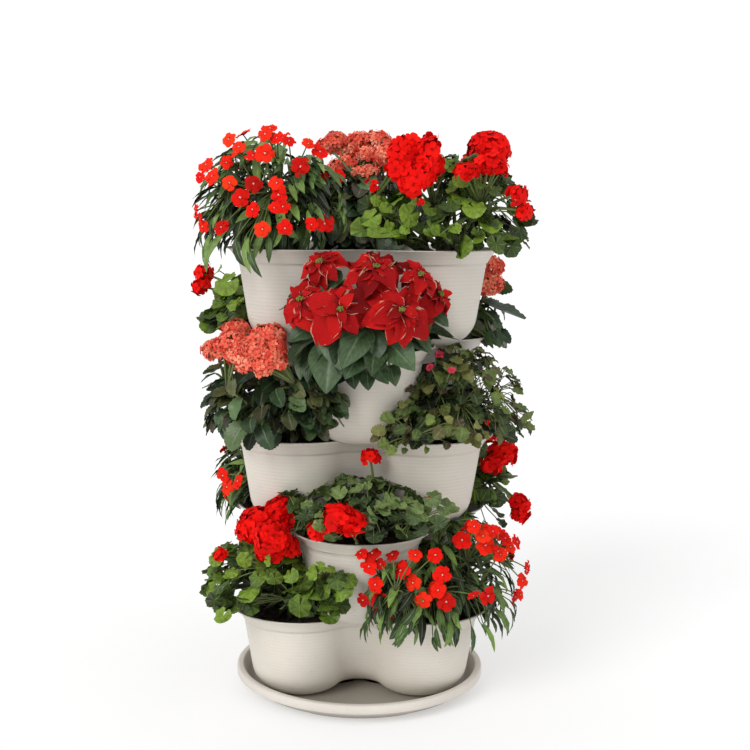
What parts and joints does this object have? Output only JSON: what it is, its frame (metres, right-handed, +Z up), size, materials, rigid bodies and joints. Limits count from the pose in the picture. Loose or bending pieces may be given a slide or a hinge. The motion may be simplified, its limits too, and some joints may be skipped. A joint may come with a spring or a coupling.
{
  "type": "vertical planter tower",
  "caption": "Free-standing tower of stacked three-lobed plastic pots on a round saucer, each turned against the one below, filled and planted with bedding flowers.",
  "frame": {"origin": "centre of the tower on the floor, under its foot pads", "axes": "+Z up along the tower's axis; the front with the lowest tier's open valley looks along -Y"},
  "size_m": [0.3929, 0.4266, 0.6935],
  "materials": {
    "pot_plastic": "injection-moulded, warm stone white, fine turned lines",
    "saucer_plastic": "injection-moulded, warm stone white, plain",
    "potting_mix": "moist composted bark and peat, crumbly",
    "geranium_plant": "soft scalloped leaves and scarlet flower heads",
    "impatiens_plant": "lance-shaped leaves and flat orange-red flowers",
    "foliage_plant": "small mixed leaves",
    "kalanchoe_plant": "fleshy leaves and coral flower clusters",
    "poinsettia_plant": "scarlet bracts with cream streaks over dark leaves"
  },
  "bodies": {
    "saucer": {"saucer": "saucer_plastic"},
    "tier_1": {"tier_1_pot": "pot_plastic", "tier_1_potting_mix": "potting_mix", "tier_1_geranium_left": "geranium_plant", "tier_1_impatiens_right": "impatiens_plant", "tier_1_foliage_rear": "foliage_plant"},
    "tier_2": {"tier_2_pot": "pot_plastic", "tier_2_potting_mix": "potting_mix", "tier_2_geranium_front": "geranium_plant", "tier_2_impatiens_rear_left": "impatiens_plant", "tier_2_geranium_rear_right": "geranium_plant"},
    "tier_3": {"tier_3_pot": "pot_plastic", "tier_3_potting_mix": "potting_mix", "tier_3_kalanchoe_left": "kalanchoe_plant", "tier_3_foliage_right": "foliage_plant", "tier_3_foliage_rear": "foliage_plant"},
    "tier_4": {"tier_4_pot": "pot_plastic", "tier_4_potting_mix": "potting_mix", "tier_4_poinsettia_front": "poinsettia_plant", "tier_4_geranium_rear_left": "geranium_plant", "tier_4_kalanchoe_rear_right": "kalanchoe_plant"},
    "tier_5": {"tier_5_pot": "pot_plastic", "tier_5_potting_mix": "potting_mix", "tier_5_impatiens_left": "impatiens_plant", "tier_5_geranium_right": "geranium_plant", "tier_5_kalanchoe_rear": "kalanchoe_plant"}
  },
  "joints": [
    {"name": "tier_1_lift", "type": "slide", "parent": "saucer", "child": "tier_1", "axis": [0, 0, 1], "range_m": [0, 0.12]},
    {"name": "tier_2_lift", "type": "slide", "parent": "tier_1", "child": "tier_2", "axis": [0, 0, 1], "range_m": [0, 0.12]},
    {"name": "tier_3_lift", "type": "slide", "parent": "tier_2", "child": "tier_3", "axis": [0, 0, 1], "range_m": [0, 0.12]},
    {"name": "tier_4_lift", "type": "slide", "parent": "tier_3", "child": "tier_4", "axis": [0, 0, 1], "range_m": [0, 0.12]},
    {"name": "tier_5_lift", "type": "slide", "parent": "tier_4", "child": "tier_5", "axis": [0, 0, 1], "range_m": [0, 0.12]}
  ]
}
